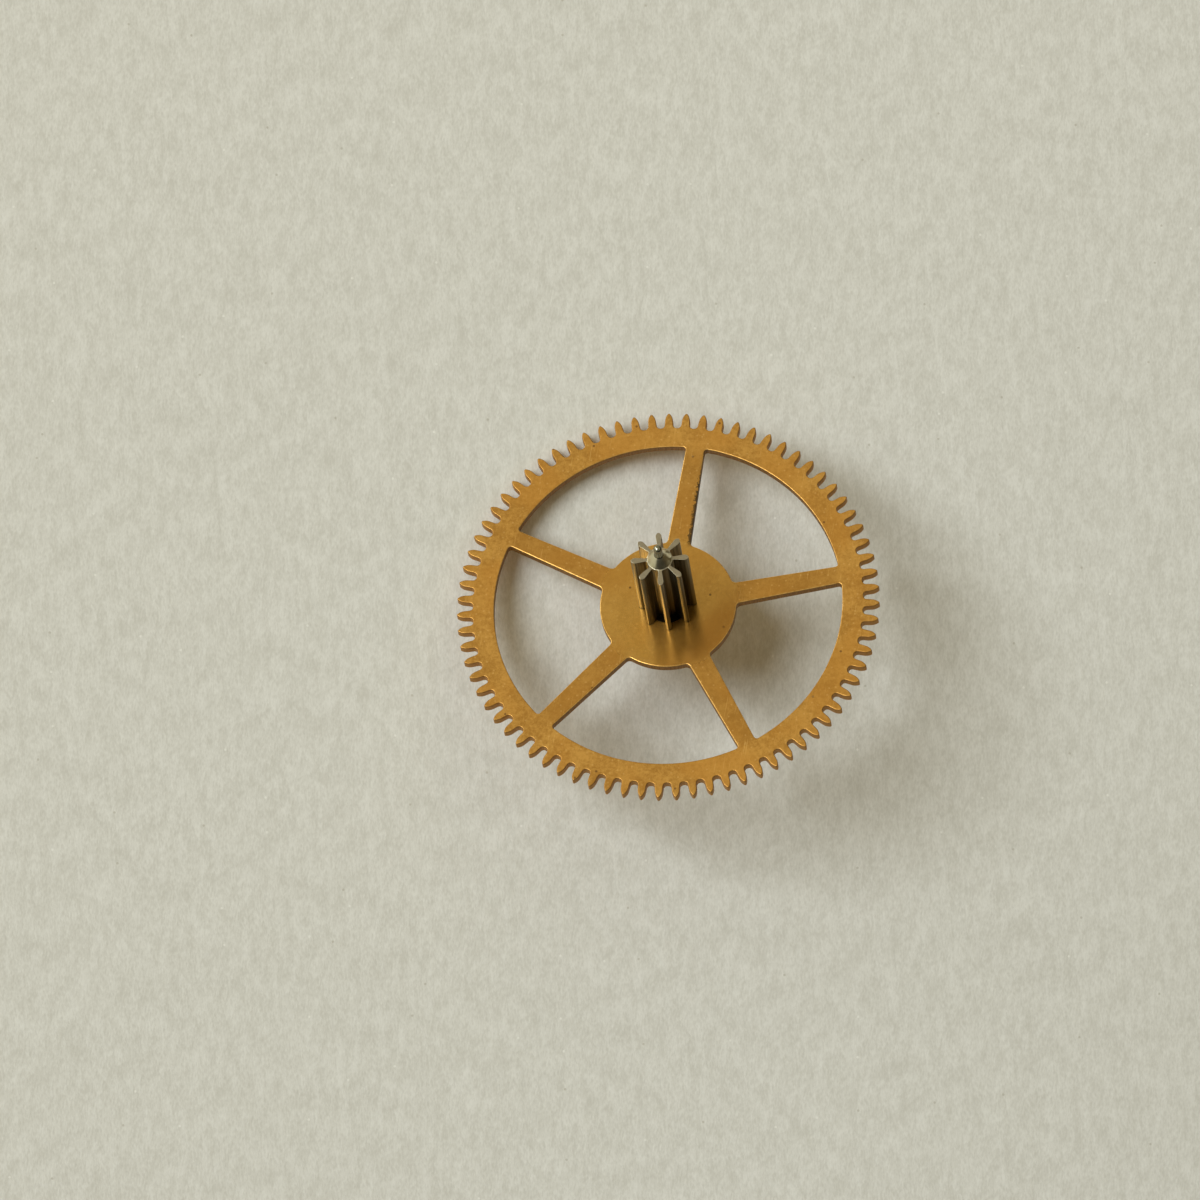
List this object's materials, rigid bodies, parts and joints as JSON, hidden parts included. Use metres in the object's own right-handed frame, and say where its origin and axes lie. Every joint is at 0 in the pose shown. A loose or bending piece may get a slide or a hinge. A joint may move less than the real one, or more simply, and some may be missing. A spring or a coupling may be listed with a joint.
{
  "type": "watch center wheel",
  "caption": "Crossed-out brass wheel riveted to a steel leaf pinion whose arbor has an upper pivot, a lower pivot and a post for the cannon pinion.",
  "frame": {"origin": "on the axis, at the middle of the wheel's thickness", "axes": "+Z along the arbor from the cannon-pinion post towards the upper pivot; the first spoke points along +Y"},
  "size_m": [0.014, 0.014, 0.008],
  "materials": {
    "gilt_brass": "satin gilt with a burnished hub",
    "polished_steel": "hardened and polished"
  },
  "bodies": {
    "root": {"wheel": "gilt_brass", "pinion_arbor": "polished_steel"}
  },
  "joints": []
}
